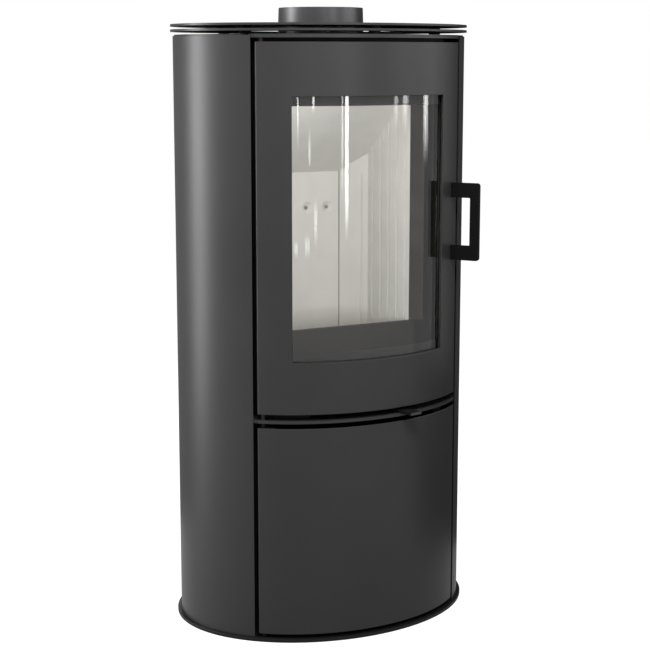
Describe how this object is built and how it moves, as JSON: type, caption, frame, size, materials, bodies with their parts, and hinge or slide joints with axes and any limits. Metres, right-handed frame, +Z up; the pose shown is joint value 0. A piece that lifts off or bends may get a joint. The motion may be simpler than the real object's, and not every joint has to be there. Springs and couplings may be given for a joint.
{
  "type": "wood stove",
  "caption": "Oval free-standing wood stove of painted steel with a glazed fire door, a log store door below, floating top plates and a round flue collar.",
  "frame": {"origin": "centre of the base plate's underside, on the flue's axis", "axes": "+Z up along the flue, the doors face -Y, +X to the right when the doors are faced"},
  "size_m": [0.548, 0.4527, 1.0833],
  "materials": {
    "casing_paint": "satin anthracite heat-proof paint",
    "collar_paint": "matt anthracite heat-proof paint",
    "handle_paint": "satin black paint",
    "inner_steel": "matt black heat-proof paint on plate",
    "lining": "pressed fire-proof slab, cream, matt",
    "casting": "as cast",
    "bright_steel": "turned or zinc-plated",
    "window": "clear curved ceramic glass",
    "seal": "knitted glass-fibre seal"
  },
  "bodies": {
    "stove_body": {"base_plate": "casing_paint", "side_casing_left": "casing_paint", "side_casing_right": "casing_paint", "rear_cover": "casing_paint", "body_top_plate": "casing_paint", "divider_shelf": "casing_paint", "top_ring": "casing_paint", "top_plate": "casing_paint", "flue_collar": "collar_paint", "rear_posts": "inner_steel", "ring_spacers": "inner_steel", "top_spacers": "inner_steel", "store_wall_left": "inner_steel", "store_wall_right": "inner_steel", "store_back": "inner_steel", "firebox_wall_left": "inner_steel", "firebox_wall_right": "inner_steel", "firebox_back": "inner_steel", "firebox_floor": "inner_steel", "firebox_roof": "inner_steel", "front_frame": "inner_steel", "air_wash_plate": "inner_steel", "ash_rail_left": "inner_steel", "ash_rail_right": "inner_steel", "ash_floor": "inner_steel", "door_hinge_pins": "inner_steel", "lower_hinge_pins": "inner_steel", "magnet_catch": "inner_steel", "side_liner_left": "lining", "side_liner_right": "lining", "corner_liner_left": "lining", "corner_liner_right": "lining", "back_liner": "lining", "floor_liner": "lining", "baffle": "lining", "log_guard": "casting", "grate": "casting", "rear_cover_screws": "bright_steel", "lever_pivot": "bright_steel", "latch_bracket": "bright_steel", "latch_pin": "bright_steel"},
    "door": {"door_panel": "casing_paint", "door_frame": "inner_steel", "window_glass": "window", "glass_tape": "seal", "glass_retainer_bottom": "inner_steel", "glass_retainer_top": "inner_steel", "glass_retainer_sides": "inner_steel", "door_rope": "seal", "door_hinge_sleeves": "inner_steel", "door_handle": "handle_paint", "handle_screws": "bright_steel", "latch_tongue": "bright_steel"},
    "lower_door": {"lower_door_panel": "casing_paint", "lower_hinge_sleeves": "inner_steel", "catch_plate": "bright_steel"},
    "ash_pan": {"ash_pan": "inner_steel"},
    "air_lever": {"air_lever": "casing_paint"},
    "latch_roller": {"latch_roller": "bright_steel"}
  },
  "joints": [
    {"name": "door_hinge", "type": "hinge", "parent": "stove_body", "child": "door", "pos_m": [-0.1832, -0.14072, 0.7], "axis": [0, 0, -1], "range_deg": [0, 100]},
    {"name": "lower_door_hinge", "type": "hinge", "parent": "stove_body", "child": "lower_door", "pos_m": [-0.1832, -0.14072, 0.195], "axis": [0, 0, -1], "range_deg": [0, 100]},
    {"name": "ash_pan_slide", "type": "slide", "parent": "stove_body", "child": "ash_pan", "axis": [0, -1, 0], "range_m": [0, 0.105]},
    {"name": "air_lever_pivot", "type": "hinge", "parent": "stove_body", "child": "air_lever", "pos_m": [0, 0.06, 0.394], "axis": [0, 0, 1], "range_deg": [-29, 5]},
    {"name": "latch_roller_spin", "type": "hinge", "parent": "stove_body", "child": "latch_roller", "pos_m": [0.1982, -0.11202, 0.714], "axis": [0, 0, 1], "continuous": true}
  ]
}
